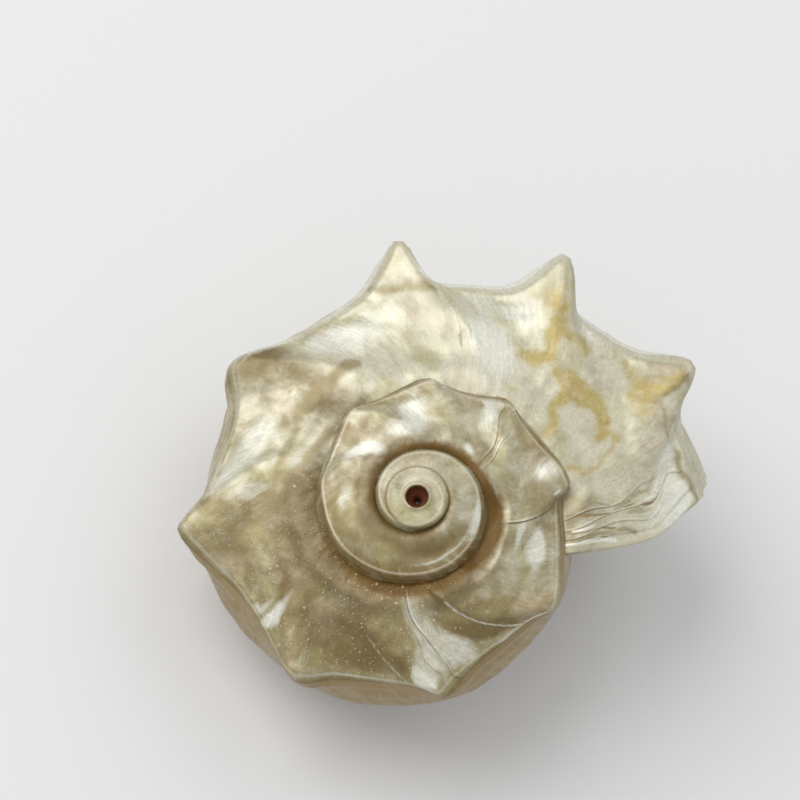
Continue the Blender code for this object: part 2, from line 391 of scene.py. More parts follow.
OLIVE_AND_SHADE_PATCHES = (
    (327.0, 3.4, 6.0, 0.6, 0.0, 0.5),
    (268.0, 1.6, 6.0, 0.6, 0.0, 0.38),
    (172.0, 6.8, 9.0, 1.4, 2.0, 0.45),
    (222.0, 6.6, 8.0, 1.6, 3.0, 0.5),
    (272.0, 7.4, 9.0, 1.4, 3.0, 0.45),
    (316.0, 6.8, 7.0, 1.4, 2.0, 0.45),
    (90.0, 2.3, 5.0, 0.9, 0.0, 0.6),
    (212.0, 1.2, 8.0, 0.5, 0.0, 0.7),
    (-170.0, 2.0, 26.0, 1.2, 0.0, 0.35),
    (-218.0, 1.0, 14.0, 0.6, 0.0, 0.4),
    (-215.0, 1.0, 12.0, 0.6, 0.0, 0.5),
    (-132.0, 2.4, 7.0, 0.6, 0.0, 0.5),
    (84.0, 1.4, 3.0, 0.4, 0.0, 0.35),
    (74.0, 2.6, 1.0, 1.0, 2.0, 0.4),
    (81.5, 2.6, 1.2, 1.1, 2.0, 0.4),
    (140.0, 1.7, 12.0, 0.6, 0.0, 0.5),
    (-300.0, 1.5, 45.0, 0.7, 0.0, 0.75),
    (-270.0, 0.7, 30.0, 0.25, 0.0, 0.5),
    (-130.0, 1.9, 8.0, 0.9, 3.0, 0.35),
    (-75.0, 2.4, 7.0, 1.2, 2.0, 0.3),
    (-41.0, 2.6, 4.5, 1.3, 2.0, 0.4),
    (-5.0, 2.9, 5.0, 1.8, 0.0, 0.5),
    (-28.0, 1.0, 14.0, 0.25, 0.0, 0.35),
    (47.0, 1.5, 8.0, 0.45, -3.0, 0.7),
    (58.0, 2.5, 8.5, 1.15, -4.0, 1.0),
    (106.0, 2.2, 15.0, 1.3, 0.0, 0.95),
    (128.0, 1.8, 14.0, 1.3, 0.0, 0.5),
    (155.0, 1.1, 22.0, 0.8, 0.0, 0.5),
    (166.0, 3.0, 6.0, 0.6, 0.0, 0.4),
    (222.0, 2.6, 7.0, 0.55, 3.0, 0.5),
    (221.0, 1.6, 5.0, 0.5, 3.0, 0.6),
    (225.0, 3.7, 6.0, 0.55, 0.0, 0.85),
    (220.0, 3.15, 5.0, 0.5, 0.0, 0.75),
    (157.0, 2.5, 8.0, 0.6, 0.0, 0.5),
    (100.0, 0.65, 25.0, 0.3, 0.0, 0.6),
    (224.0, 3.1, 7.0, 0.4, 0.0, 0.35),
    (342.0, 0.75, 5.0, 0.2, 4.0, 0.55),
    (346.0, 0.45, 8.0, 0.16, 2.0, 0.6),
)

# Lines and blots in the nacre, as (strength, half width in mm, (growth angle, row) points that it runs
# through). The olive ones are painted in khaki, and the crests in white as painted highlights along ridges.
AMBER_LINES = (
    (0.45, 0.60, ((296.0, 3.3), (299.2, 2.85), (301.5, 2.9))),
    (0.7, 0.55, ((299.2, 2.8), (299.5, 2.2))),
    (0.9, 0.60, ((290.2, 1.62), (295.2, 1.62), (298.8, 1.83), (299.5, 2.2))),
    (0.8, 0.50, ((297.8, 2.25), (303.5, 2.46), (309.5, 2.95), (309.8, 2.58))),
    (0.7, 0.50, ((303.0, 1.62), (308.2, 1.67))),
    (1.0, 0.95, ((308.5, 1.65), (312.0, 1.65))),
    (1.0, 0.65, ((312.0, 1.72), (318.5, 1.79), (321.2, 1.71))),
    (0.8, 0.50, ((321.2, 1.71), (324.2, 1.58), (324.2, 1.42))),
    (0.8, 0.60, ((309.0, 1.5), (306.2, 1.04), (310.2, 0.71))),
    (0.6, 0.30, ((328.2, 1.71), (329.5, 1.46), (330.8, 1.12), (330.2, 0.83), (325.0, 0.62), (320.0, 0.5))),
    (0.5, 0.45, ((324.0, 1.6), (328.2, 1.71))),
    (0.5, 0.70, ((321.5, 3.29), (324.2, 3.0), (325.2, 2.5))),
    (0.6, 0.70, ((324.2, 3.0), (329.0, 2.45), (327.2, 2.92))),
    (0.7, 0.34, ((327.2, 2.92), (329.5, 3.21), (330.0, 3.54))),
    (0.6, 0.50, ((286.0, 0.9), (290.0, 0.85))),
    (0.4, 0.70, ((264.0, 3.8), (267.0, 4.0))),
    (0.5, 0.70, ((336.0, 0.5), (341.0, 0.6))),
)
OLIVE_LINES = (
    (0.95, 0.72, ((234.0, 1.5), (222.0, 1.4), (212.0, 1.5), (206.0, 1.45))),
    (0.8, 0.45, ((200.0, 1.3), (190.0, 1.2), (181.0, 1.35), (176.0, 1.3))),
    (0.85, 0.55, ((222.0, 0.35), (203.0, 0.45), (190.0, 0.65), (180.0, 0.75))),
    (0.8, 0.35, ((258.5, 3.9), (261.0, 3.2), (264.5, 2.75), (268.5, 2.7))),
    (0.9, 0.28, ((328.5, 2.7), (330.0, 3.1), (331.0, 3.6))),
    (0.6, 0.28, ((330.0, 2.75), (336.0, 2.8), (341.0, 3.15), (345.0, 3.5))),
    (0.8, 0.42, ((345.0, 3.25), (350.8, 3.58), (355.8, 3.92))),
    (0.6, 0.35, ((186.0, 3.35), (193.0, 3.5), (200.0, 3.8))),
    (0.5, 0.35, ((234.0, 3.2), (241.0, 3.5), (246.0, 3.9))),
    (0.6, 0.60, ((217.0, 4.6), (218.0, 3.9), (220.0, 3.2))),
    (0.9, 0.20, ((350.2, 0.35), (351.2, 0.7), (352.6, 1.2), (353.4, 1.6))),
    (0.7, 0.25, ((348.6, 1.5), (348.8, 1.9), (348.4, 2.3), (346.8, 2.7))),
    (0.7, 0.25, ((344.0, 1.3), (344.9, 1.8), (344.0, 2.2))),
)
UMBER_LINES = (
    (1.0, 0.12, ((341.5, 0.30), (342.8, 0.46), (345.2, 0.79), (346.8, 1.17))),
    (0.9, 0.12, ((345.5, 1.25), (347.0, 1.75), (347.5, 2.17), (346.5, 2.38))),
    (1.0, 0.10, ((347.5, 0.3), (349.0, 0.7), (352.2, 1.25))),
    (0.7, 0.12, ((337.5, 0.75), (341.0, 0.85), (343.5, 1.2))),
    (0.8, 0.09, ((350.5, 0.3), (353.8, 1.08))),
    (0.6, 0.12, ((329.5, 2.55), (329.8, 2.9), (331.2, 3.25), (331.0, 3.7))),
    (0.8, 0.16, ((58.4, 0.7), (56.0, 1.3), (53.0, 2.2), (50.2, 3.2), (47.5, 3.8))),
    (0.7, 0.13, ((6.0, 2.1), (9.0, 1.75), (14.0, 1.7))),
    (0.5, 0.13, ((-50.5, 0.8), (-52.0, 1.6), (-51.0, 2.6), (-49.0, 3.4))),
)
CREST_HIGHLIGHTS = (
    (0.65, 0.22, ((58.4, 0.9), (57.0, 1.3), (54.2, 2.1), (51.4, 3.2), (48.5, 3.8), (40.0, 3.85))),
    (0.6, 0.20, ((99.8, 1.7), (97.0, 2.2), (94.6, 3.0), (93.0, 3.7))),
    (0.8, 0.20, ((-8.5, 2.9), (-7.0, 3.4), (-6.5, 4.0))),
    (0.9, 0.22, ((353.0, 0.4), (353.6, 0.8), (355.0, 1.25))),
    (0.8, 0.15, ((347.4, 0.45), (348.6, 0.85))),
    (0.9, 0.20, ((347.2, 1.75), (346.2, 2.1), (343.5, 2.5), (340.8, 2.9))),
    (0.8, 0.20, ((350.5, 1.9), (350.0, 2.3), (348.0, 2.8), (345.5, 3.2))),
    (0.7, 0.12, ((338.0, 3.3), (341.5, 3.55), (346.0, 3.75))),
)
TONE_AND_SIDE_SHADE = (
    (-960.0, 0.5),
    (-400.0, 0.55),
    (-330.0, 0.8),
    (-240.0, 1.0),
    (-190.0, 0.95),
    (-160.0, 0.6),
    (-60.0, 0.62),
    (0.0, 0.66),
    (26.0, 0.5),
    (42.0, 0.9),
    (60.0, 1.0),
    (173.0, 0.95),
    (187.0, 0.4),
    (196.0, 0.25),
    (208.0, 0.6),
    (220.0, 0.6),
    (235.0, 0.12),
    (270.0, 0.05),
    (300.0, 0.10),
    (330.0, 0.22),
    (342.0, 0.05),
)  # (growth angle, how far the tone goes from cream to khaki, partly its own and partly painted light)
SUTURE_SHADE = (
    (-360.0, 0.1),
    (-260.0, 0.55),
    (-200.0, 0.75),
    (-120.0, 0.6),
    (-85.0, 0.4),
    (-40.0, 0.25),
    (-15.0, 0.5),
    (12.0, 0.6),
    (24.0, 0.65),
    (38.0, 0.9),
    (62.0, 0.95),
    (76.0, 0.35),
    (100.0, 0.8),
    (174.0, 0.85),
    (186.0, 0.6),
    (197.0, 0.2),
    (216.0, 0.9),
    (234.0, 0.15),
    (330.0, 0.1),
    (342.0, 0.5),
    (357.0, 0.5),
)  # (growth angle, how much painted shade darkens the shoulder beside the suture)
SUTURE_CREVICE_SHADE = (
    (-640.0, 0.4),
    (-330.0, 0.5),
    (-200.0, 0.5),
    (-80.0, 0.7),
    (-20.0, 1.0),
    (95.0, 1.0),
    (125.0, 0.6),
    (150.0, 0.3),
    (200.0, 0.3),
    (230.0, 0.5),
    (270.0, 0.2),
)  # (growth angle, how brown the painted shade in the suture's crease is)
WALL_STAIN = (
    (-240.0, 0.1),
    (-40.0, 0.5),
    (60.0, 0.9),
    (160.0, 0.7),
    (230.0, 0.3),
    (300.0, 0.1),
    (357.0, 0.0),
)  # (growth angle, how brown the wall is below the keel)
RUST_STAIN = (
    (-345.0, 0.0),
    (-315.0, 0.8),
    (-240.0, 0.9),
    (-200.0, 0.5),
    (-90.0, 0.35),
    (0.0, 0.3),
    (40.0, 0.0),
)  # (growth angle, how rusty the streaks near the keel are)

# Where masks begin and end, as pairs of rows or of growth angles that the change lies between.
SHADE_ENDS_ROWS = (0.4, 1.9)
BROWN_FROM = (-700.0, -640.0)
RUST_ROWS = (2.3, 3.8)
RUST_FROM = (-370.0, -340.0)
WALL_ROWS = (4.0, 4.6)
SPIRE_ENDS = (-235.0, -190.0)
GRIT = (115.0, 75.0)  # growth angle, half its length
GRIT_ENDS_ROWS = (3.4, 4.2)
SUTURE_LINE = (0.20, 0.37)  # row, half width
CHANNEL_SHADE = (0.9, 0.0, 24.0, 0.4, 0.42)  # painted shade in the channel: strength, growth angle, half its length, row, half its width
FOOT_SHADE = 0.3  # painted shade on the spire's lower wall, in the hollow above the next whorl
FOOT_ROWS = (4.8, 6.6)
FOOT_FADE = (60.0, 200.0)  # degrees of coiling before growth angle 0

# How ragged markings are, as (reach, size, noise seed) in mm, but TEAR_ROWS reaches over rows.
TEAR_ALONG = ((0.45, 1.8, 5), (0.25, 0.6, 6))
TEAR_ROWS = (0.16, 1.2, 7)
TEAR_ACROSS = (0.35, 1.1, 8)

# The masks' strokes, with how sharp patches' edges are and how ragged lines are.
PATCHES = {"white": (PALE_AND_HIGHLIGHT_PATCHES, 2.4), "olive": (OLIVE_AND_SHADE_PATCHES, 2.2)}
LINES = {
    "smear": (OLIVE_LINES, 1.0),
    "amber": (AMBER_LINES, 1.0),
    "umber": (UMBER_LINES, 0.15),
    "crest": (CREST_HIGHLIGHTS, 0.1),
}

# The nacre's noise: streaks along the growth lines, as (width and length in mm, detail), and even noise, as
# (size in mm, detail, roughness, distortion).
GROWTH_NOISE = {"fine": (0.22, 3.0, 4.0), "stripes": (0.75, 6.0, 3.0), "bands": (2.6, 9.0, 2.0)}
GROWTH_ROUGHNESS = 0.55
NOISE = {
    "clouds": (2.4, 4.0, 0.6, 0.4),
    "tints": (3.4, 2.0, 0.5, 0.0),
    "mottle": (0.9, 4.0, 0.65, 0.5),
    "flecks": (0.30, 3.0, 0.65, 0.0),
}
TINTS_FROM = (0.07, 0.03, 0.0)  # metres off, so that they don't follow the clouds
DRIFT = (2.0, 1.6)  # size of the waves in the growth lines and how far they swing, in mm
RAGGED = (0.35, 0.30)  # how far mottle and fine streaks tear a mask's edge

# Lines that layers follow, in mm: a radius, places across the growth from the keel, and along it from a step.
RING = 2.66
RING_TEAR = 0.2
# The next two are a painted highlight along the keel's edge and painted shade just under it.
KEEL_HIGHLIGHT = -0.12
UNDER_KEEL_SHADE = 0.30
NICKS = 0.12  # how ragged these two are
# Painted shade at the foot of a growth step, and a painted highlight on its edge.
STEP_SHADE_AT = 0.05
STEP_HIGHLIGHT_AT = -0.18

# The nacre's tone goes from cream to khaki, with clouds and mottle in it. Partly it is painted light: khaki
# where the shoulder faces away from the key light, cream where it catches it.
CLOUDING = (0.3, 0.7, -0.30, 0.30)
MOTTLING = 0.5
TONE = (0.0, 1.1)

# The layers over it, from the bottom up: a colour, and factors whose product is its strength. A factor is
# (what it follows, from, to, low, high) and eases from low to high, or from 0 to 1, as what it follows goes
# from one value to the other. It follows noise, a line, a mask in AS_THEY_ARE, or another mask made ragged.
AS_THEY_ARE = ("khaki", "rust", "spire", "step_shade")
BROWN = ("brown", 0.15, 0.75)
LAYERS = (
    (GREEN, ("tints", 0.50, 0.68, 0.0, 0.35)),
    (PINK, ("tints", 0.48, 0.34, 0.0, 0.30)),
    (OLIVE, ("bands", 0.45, 0.72, 0.0, 0.22)),
    # Olive patches: partly the nacre's own olive, partly painted shade where facets face away from the light.
    (OLIVE, ("olive", 0.22, 0.80, 0.0, 0.9)),
    # Painted shade beside the suture.
    (DUSK, ("shade", 0.15, 0.90, 0.0, 0.9)),
    (KHAKI, ("smear", 0.15, 0.85, 0.0, 0.8)),
    (BARK, ("wall", 0.2, 0.8, 0.0, 0.85)),
    (CREAM, ("across", 0.4, 1.6), ("stripes", 0.42, 0.62, 0.0, 0.16)),
    (AMBER, ("amber", 0.08, 0.85), ("mottle", 0.32, 0.60, 0.62, 1.0)),
    # White patches: partly pale nacre, mostly painted highlights where facets catch the key light.
    (WHITE, ("white", 0.20, 0.85, 0.0, 0.85)),
    (RUST, ("rust",), ("stripes", 0.38, 0.60)),
    (CREAM, ("rust",), ("stripes", 0.42, 0.30, 0.0, 0.6)),
    # Painted shade in the suture's crease, the channel and the spire's lower wall.
    (CREVICE_SHADE, BROWN),
    (GOLD, ("ring", 0.20, 0.04, 0.0, 0.55), ("spire",)),
    # Painted highlight along the keel's edge.
    (CREAM, ("rim", 0.16, 0.03, 0.0, 0.5)),
    # Painted shade just under the keel's edge.
    (OLIVE, ("under_keel_shade", 0.22, 0.04), ("khaki", 0.0, 0.9, 0.12, 0.5)),
    # Painted highlights along ridges.
    (WHITE, ("crest", 0.35, 0.75, 0.0, 0.85)),
    (UMBER, ("umber", 0.35, 0.75, 0.0, 0.85)),
    # Painted shade at the foot of each growth step, darker for a taller one.
    (UMBER, ("step_shade",), ("step_foot_shade", 0.13, 0.05, 0.0, 0.6)),
    # Painted highlight on each step's raised edge.
    (WHITE, ("step_shade",), ("edge", 0.14, 0.05, 0.0, 0.5)),
)
LINING_LAYERS = ((GLOW, ("tints", 0.42, 0.62)), (PINK, ("bands", 0.45, 0.65, 0.0, 0.5)))
FLECK_DEPTH = 0.50  # how much flecks and fine streaks darken or lighten the colour
STREAK_DEPTH = 0.42
BODY_SHADE = 0.98

# Painted glints that stand in for sparkle in the grit, as (cell in mm, rarity, size), strewn by noise of a
# size and reach in mm.
GRAINS = ((0.20, 3.0, 0.36), (0.50, 9.0, 0.30))
STREWN = (0.25, 0.45)
GRAIN_EDGE = (0.03, -0.05)
GLINT = 0.45

# The polish. Roughness follows the clouds, and the spire, the brown and flecks add to it; the brown also
# says how metallic the nacre is.
ROUGHNESS = (0.3, 0.75, 0.30, 0.46)
SPIRE_ROUGH = 0.12
BROWN_ROUGH = 0.2
FLECK_ROUGH = 0.25
FINE_HEIGHT = 0.45
FLECK_HEIGHT = 0.35
GRIT_HEIGHT = 0.8
BUMP_DISTANCE = 0.05 * MM
SHINE = (0.0, 0.7, 0.3, 0.65)


def eased(angle, knots):
    """Eases from the value at one knot to the next, and holds the first and last values."""
    at, values = np.array(knots).T
    span = np.clip(np.searchsorted(at, angle) - 1, 0, len(at) - 2)
    share = np.clip((angle - at[span]) / (at[span + 1] - at[span]), 0.0, 1.0)
    return values[span] + (values[span + 1] - values[span]) * share**2 * (3 - 2 * share)


def keel_radius(angle):
    return eased(angle, SWELLING) * KEEL_RADIUS * WHORL_RATIO ** (angle / 360.0)


def closed_spline(knots, rows):
    """Points of the closed Catmull-Rom curve through the knots."""
    knots = np.array(knots)
    here = np.floor(rows).astype(int)
    t = (rows - here)[:, None]
    before, at, after, last = (knots[(here + shift) % len(knots)] for shift in (-1, 0, 1, 2))
    square = 2 * before - 5 * at + 4 * after - last
    cube = 3 * at - before - 3 * after + last
    return 0.5 * (2 * at + (after - before) * t + square * t**2 + cube * t**3)


def around_axis(angle, radius, height):
    turn = np.radians(-angle)
    return np.stack([radius * np.cos(turn), radius * np.sin(turn), height], axis=-1)


def spine_reach(angle, away):
    total = 0.0
    for tip, reach, behind, ahead, bluntness in SPINES:
        along = np.radians(angle - tip) * keel_radius(tip)
        slope = np.where(along < 0, behind, ahead) * MM
        total = total + reach * MM * np.exp(-np.hypot(along / slope, away / SPINE_DEPTH) ** bluntness)
    return total


def bump(value, middle, width, power=2.0):
    return np.exp(-(np.abs((value - middle) / width) ** power))


def ramp(value, low, high):
    share = np.clip((value - low) / (high - low), 0.0, 1.0)
    return share * share * (3 - 2 * share)


def between(value, low, high, soft):
    return ramp(value, low - soft, low + soft) * (1 - ramp(value, high - soft, high + soft))


def ring_angles():
    """The rings' growth angles: evenly spaced, with one close on each side of every growth step."""
    ends = [start for start, _ in RING_STEPS[1:]] + [LIP_ANGLE]
    even = np.concatenate([np.arange(start, end, step) for (start, step), end in zip(RING_STEPS, ends)])
    steps = np.array([step[0] for step in STEPS])
    lip = LIP_ANGLE - LIP_ROUND_DEGREES * np.cos(np.linspace(0, math.pi / 2, LIP_RINGS))
    clear = [angle for angle in even if min(abs(steps - angle)) > STEP_CLEARANCE]
    kept = [angle for angle in clear if angle < lip[0] - STEP_WIDTH]
    return np.sort(np.concatenate([kept, steps - STEP_WIDTH, steps + STEP_WIDTH, lip]))


def step_waves(angle, row):
    """How far, in degrees, the growth lines near each step wander from their even run."""
    total = 0.0
    for at, _, first, last, waviness, waves, phase in STEPS:
        wave = np.sin(2 * math.pi * waves * (row - first) / (last - first) + phase)
        total = total + waviness * wave * bump(angle, at, WAVE_REACH) * between(row, first, last, WAVE_ENDS)
    return total


def smooth_wall(angles, rows):
    """The wall without its relief, as points: a growth line for each angle, a point for each row."""
    radius, height, lead = closed_spline(OUTLINE, rows).T
    keel_at = closed_spline(OUTLINE, np.array([KEEL]))[0]
    angle = angles[:, None]
    here = angle + lead + step_waves(angle, rows)
    size = keel_radius(here)
    away = np.hypot(radius - keel_at[0], height - keel_at[1]) * size
    reach = spine_reach(angle, away)
    trim = eased(angle, KEEL_TRIM) * MM * np.exp(-((away / TRIM_DEPTH) ** 2))
    out, up = reach * math.cos(SPINE_RISE) + trim, reach * math.sin(SPINE_RISE)
    return around_axis(here, radius * size + out, height * size + up)


def outward(points):
    """Unit normals of a grid of points that closes on itself from the last row to the first."""
    along = np.gradient(points, axis=0)
    across = np.roll(points, -1, axis=1) - np.roll(points, 1, axis=1)
    normal = np.cross(along, across)
    normal /= np.linalg.norm(normal, axis=-1, keepdims=True) + 1e-12
    inside = points.mean(axis=1, keepdims=True)
    return normal * np.sign(((points - inside) * normal).sum())


def wander(points, size, seed):
    """Smooth noise from -1 to 1, with features of about this size in metres."""
    shift = Vector([seed * step for step in SEED_STEP])
    flat = points.reshape(-1, 3) / size
    values = [noise.noise(Vector(point) + shift) for point in flat]
    return np.array(values).reshape(points.shape[:-1])


def uneven(points, kind):
    """Noise in metres, of a kind given as (reach, size, seed) in mm."""
    reach, size, seed = kind
    return reach * MM * wander(points, size * MM, seed)


def ribs(angle, row):
    """1 on the crests of the ribs that run in from the spines, 0 between them."""
    inward = np.clip((KEEL - row) / KEEL, 0.0, 1.0)
    crest = 0.0
    for tip, *_ in SPINES:
        size = keel_radius(tip)
        along = np.radians(angle - tip - RIB_LEAD * inward**RIB_CURVE) * size
        width = np.where(along < 0, RIB_BEHIND, RIB_AHEAD) * size
        crest = np.maximum(crest, np.exp(-(np.abs(along / width) ** RIB_SHARPNESS)))
    return crest


def relief(angles, rows, points):
    """How far the surface stands out from the smooth wall, in metres."""
    angle, row = angles[:, None], rows[None, :]
    size = keel_radius(angle)
    shoulder = between(row, *SHOULDER)
    height = RIB_HEIGHT * size * (ribs(angle, row) - RIB_LEVEL) * shoulder * ramp(angle, *RIBS_FROM)
    height += CORD_HEIGHT * size * bump(row, *CORD_LINE) * ramp(angle, *CORDS_FROM)
    height += RIM_HEIGHT * size * bump(row, *RIM_LINE) * ramp(angle, *CORDS_FROM)
    cords = (0.5 + 0.5 * np.cos(2 * math.pi * row)) ** BASE_CORD_SHARPNESS
    height += BASE_CORD_HEIGHT * size * cords * between(row, *BASE)
    for at, step, first, last, *_ in STEPS:
        past = angle - at
        rise = np.where(past > 0, -np.exp(-past / STEP_FADE), SWELL * np.exp(past / SWELL_FADE))
        height += step * MM * rise * between(row, first, last, STEP_ENDS)
    for at, middle, slant, fold, rise, fall, reach in FOLDS:
        past = angle - at - slant * (row - middle)
        crest = np.exp(-((past / np.where(past < 0, rise, fall)) ** 2))
        height += fold * MM * crest * bump(row, middle, reach, FLAT_TOPPED)
    at, middle, length, width, depth = CHANNEL
    height -= depth * MM * bump(angle, at, length, FLAT_TOPPED) * bump(row, middle, width, FLAT_TOPPED)
    rough = ramp(angle, *UNEVEN_FROM)
    height += uneven(points, UNDULATION) * rough * shoulder
    for dimples in DIMPLES:
        height += uneven(points, dimples) * rough
    at, length, middle, width = CRUST_PLACE
    height += np.abs(uneven(points, CRUST)) * (bump(angle, at, length) * bump(row, middle, width))
    lip = np.clip((angle - (LIP_ANGLE - LIP_ROUND_DEGREES)) / LIP_ROUND_DEGREES, 0.0, 1.0)
    return height - LIP_ROUND * (1 - np.sqrt(1 - lip**2))


def worn(points, angles, rows):
    """Flattens the spire's top, each whorl a bit lower than the last, but for a collar round the disc."""
    first, last, fade, middle, width, height = COLLAR
    collar = height * MM * between(angles[:, None], first, last, fade) * bump(rows[None, :], middle, width)
    level = WORN_TOP + WHORL_STEP * (angles[:, None] - SPIRE_START) / 360.0 - collar
    depth = WORN_EDGE * np.logaddexp(-points[..., 2] / WORN_EDGE, level / WORN_EDGE)
    return np.concatenate([points[..., :2], -depth[..., None]], axis=-1)


def wall_points(angles, rows):
    smooth = smooth_wall(angles, rows)
    height = relief(angles, rows, smooth)
    return worn(smooth + outward(smooth) * height[..., None], angles, rows)


def cavity_points(angles, rows):
    radius, height, lead = closed_spline(CAVITY, rows).T
    angle = angles[:, None]
    flare = FLARE * np.clip((angle - FLARE_START) / (LIP_ANGLE - FLARE_START), 0.0, 1.0)
    flare = flare + LIP_FLARE * ramp(angle, LIP_ANGLE - LIP_FLARE_DEGREES, LIP_ANGLE + LIP_FLARE_DEGREES)
    radius = radius + (radius - FLARE_POINT[0]) * flare
    height = height + (height - FLARE_POINT[1]) * flare
    here = angle + lead
    size = keel_radius(here)
    return around_axis(here, radius * size, height * size)


def mesh_object(name, mesh):
    data = bpy.data.meshes.new(name)
    mesh.to_mesh(data)
    mesh.free()
    made = bpy.data.objects.new(name, data)
    bpy.context.scene.collection.objects.link(made)
    return made


def tube(name, grid):
    """A closed tube through a grid of points, capped at both ends."""
    rings, around = grid.shape[:2]
    corner = np.arange(rings * around).reshape(rings, around)
    following = np.roll(corner, -1, axis=1)
    sides = np.stack([corner[:-1], following[:-1], following[1:], corner[1:]], axis=-1).reshape(-1, 4)
    faces = sides.tolist()
    for end, centre in ((0, rings * around), (-1, rings * around + 1)):
        faces += [[a, b, centre] for a, b in zip(corner[end].tolist(), following[end].tolist())]
    points = np.concatenate([grid.reshape(-1, 3), [grid[0].mean(axis=0), grid[-1].mean(axis=0)]])
    data = bpy.data.meshes.new(name)
    data.from_pydata(points.tolist(), [], faces)
    mesh = bmesh.new()
    mesh.from_mesh(data)
    bmesh.ops.recalc_face_normals(mesh, faces=mesh.faces)
    return mesh_object(name, mesh)


def turned(name, profile):
    """A solid turned about the coiling axis, from a profile of (radius, height) in mm."""
    angles = np.linspace(0.0, 360.0, ROUND_SIDES, endpoint=False)
    rings = [around_axis(angles, *(np.full(ROUND_SIDES, value) for value in point)) for point in profile]
    return tube(name, np.array(rings) * MM)


def block(name, size, pose):
    mesh = bmesh.new()
    bmesh.ops.create_cube(mesh, size=1.0, matrix=pose @ Matrix.Diagonal((*size, 1.0)))
    return mesh_object(name, mesh)


def combined(body, steps):
    """The mesh that Booleans of body with other objects leave; the objects are removed."""
    for operation, other in steps:
        boolean = body.modifiers.new(other.name, "BOOLEAN")
        boolean.operation = operation
        boolean.object = other
        boolean.solver = "MANIFOLD"
    graph = bpy.context.evaluated_depsgraph_get()
    mesh = bmesh.new()
    mesh.from_mesh(body.evaluated_get(graph).to_mesh())
    for used in [body] + [other for _, other in steps]:
        bpy.data.objects.remove(used)
    return mesh


def keep_largest(mesh):
    """Deletes the crumbs that joining the lengths leaves at the seams."""
    left = set(mesh.verts)
    islands = []
    while left:
        reached = [left.pop()]
        for vert in reached:
            for edge in vert.link_edges:
                other = edge.other_vert(vert)
                if other in left:
                    left.remove(other)
                    reached.append(other)
        islands.append(reached)
    islands.sort(key=len)
    crumbs = [vert for island in islands[:-1] for vert in island]
    bmesh.ops.delete(mesh, geom=crumbs, context="VERTS")


def patches(strokes, angle, row, edge):
    """Soft-edged patches laid over each other."""
    bare = 1.0
    for at, middle, length, height, slant, strength in strokes:
        along = (angle - at - slant * (row - middle)) / length
        bare = bare * (1 - strength * np.exp(-(np.hypot(along, (row - middle) / height) ** edge)))
    return 1 - bare


def drawn(strokes, angle, across, size, rows, outline):
    """Soft-edged lines laid over each other; across is the way along the outline, in keel radii."""
    radius, length = outline
    bare = 1.0
    for strength, width, path in strokes:
        closest = np.inf
        for (first, low), (last, high) in zip(path, path[1:]):
            start, end = np.interp((low, high), rows, length)
            x, y = np.radians(angle - first) * radius, across - start
            run, rise = math.radians(last - first) * radius, end - start
            share = np.clip((x * run + y * rise) / (run * run + rise * rise + 1e-12), 0.0, 1.0)
            closest = np.minimum(closest, np.hypot(x - share * run, y - share * rise))
        bare = bare * (1 - strength * np.exp(-((closest * size / (width * MM)) ** 2)))
    return 1 - bare


def markings(angles, rows, points):
    """The masks that the nacre follows, from 0 to 1, and places along and across the growth, in mm."""
    angle, row = angles[:, None], rows[None, :]
    size = keel_radius(angle)
    ragged = sum(reach * wander(points, grain * MM, seed) for reach, grain, seed in TEAR_ALONG)
    torn_angle = np.degrees(ragged * MM / size)
    torn_across = uneven(points, TEAR_ACROSS) / size
    reach, grain, seed = TEAR_ROWS
    torn_row = row + reach * wander(points, grain * MM, seed)
    outline = closed_spline(OUTLINE, rows)
    length = np.concatenate([[0.0], np.cumsum(np.hypot(*np.diff(outline[:, :2], axis=0).T))])

    # The brown is painted shade: along the suture's crease, in the channel and on the spire's lower wall.
    strength, at, half, middle, width = CHANNEL_SHADE
    brown = eased(angle, SUTURE_CREVICE_SHADE) * bump(row, *SUTURE_LINE)
    brown = brown + strength * bump(angle, at, half, BROAD) * bump(row, middle, width, BROAD)
    brown = brown + FOOT_SHADE * ramp(row, *FOOT_ROWS) * ramp(-angle, *FOOT_FADE)
    # Painted shade at the foot of the nearest growth step, darker for a taller step.
    past, step_shade = 1.0, 0.0
    lost, *lost_rows = STEP_SHADE_FADE
    for at, step, first, last, *_ in STEPS:
        away = np.radians(angle - at) * size / MM
        depth = min(step / STEP_SHADE_DEPTH, 1.0) * between(row, first, last, STEP_ENDS)
        depth = depth * (1 - lost * ramp(row, *lost_rows))
        nearer = np.abs(away) < np.abs(past)
        past, step_shade = np.where(nearer, away, past), np.where(nearer, depth, step_shade)
    masks = {
        "shade": eased(angle, SUTURE_SHADE) * (1 - ramp(torn_row, *SHADE_ENDS_ROWS)),
        "khaki": eased(angle, TONE_AND_SIDE_SHADE),
        "brown": np.clip(brown, 0.0, 1.0) * ramp(angle, *BROWN_FROM),
        "rust": eased(angle, RUST_STAIN) * ramp(row, *RUST_ROWS) * ramp(angle, *RUST_FROM),
        "grit": bump(angle, *GRIT, FLAT_TOPPED) * (1 - ramp(row, *GRIT_ENDS_ROWS)),
        "spire": 1 - ramp(angle, *SPIRE_ENDS),
        "wall": ramp(row, *WALL_ROWS) * eased(angle, WALL_STAIN),
        "past": past,
        "step_shade": step_shade,
        "along": size / MM * GROWTH_PER_RADIUS,
        "across": (length[None, :] - np.interp(KEEL, rows, length)) * size / MM,
    }
    for name, (strokes, edge) in PATCHES.items():
        masks[name] = patches(strokes, angle + torn_angle, torn_row, edge)
    for name, (strokes, tear) in LINES.items():
        torn = angle + tear * torn_angle, length + tear * torn_across
        masks[name] = drawn(strokes, *torn, size, rows, (outline[:, 0], length))
    return {name: np.broadcast_to(values, points.shape[:2]) for name, values in masks.items()}


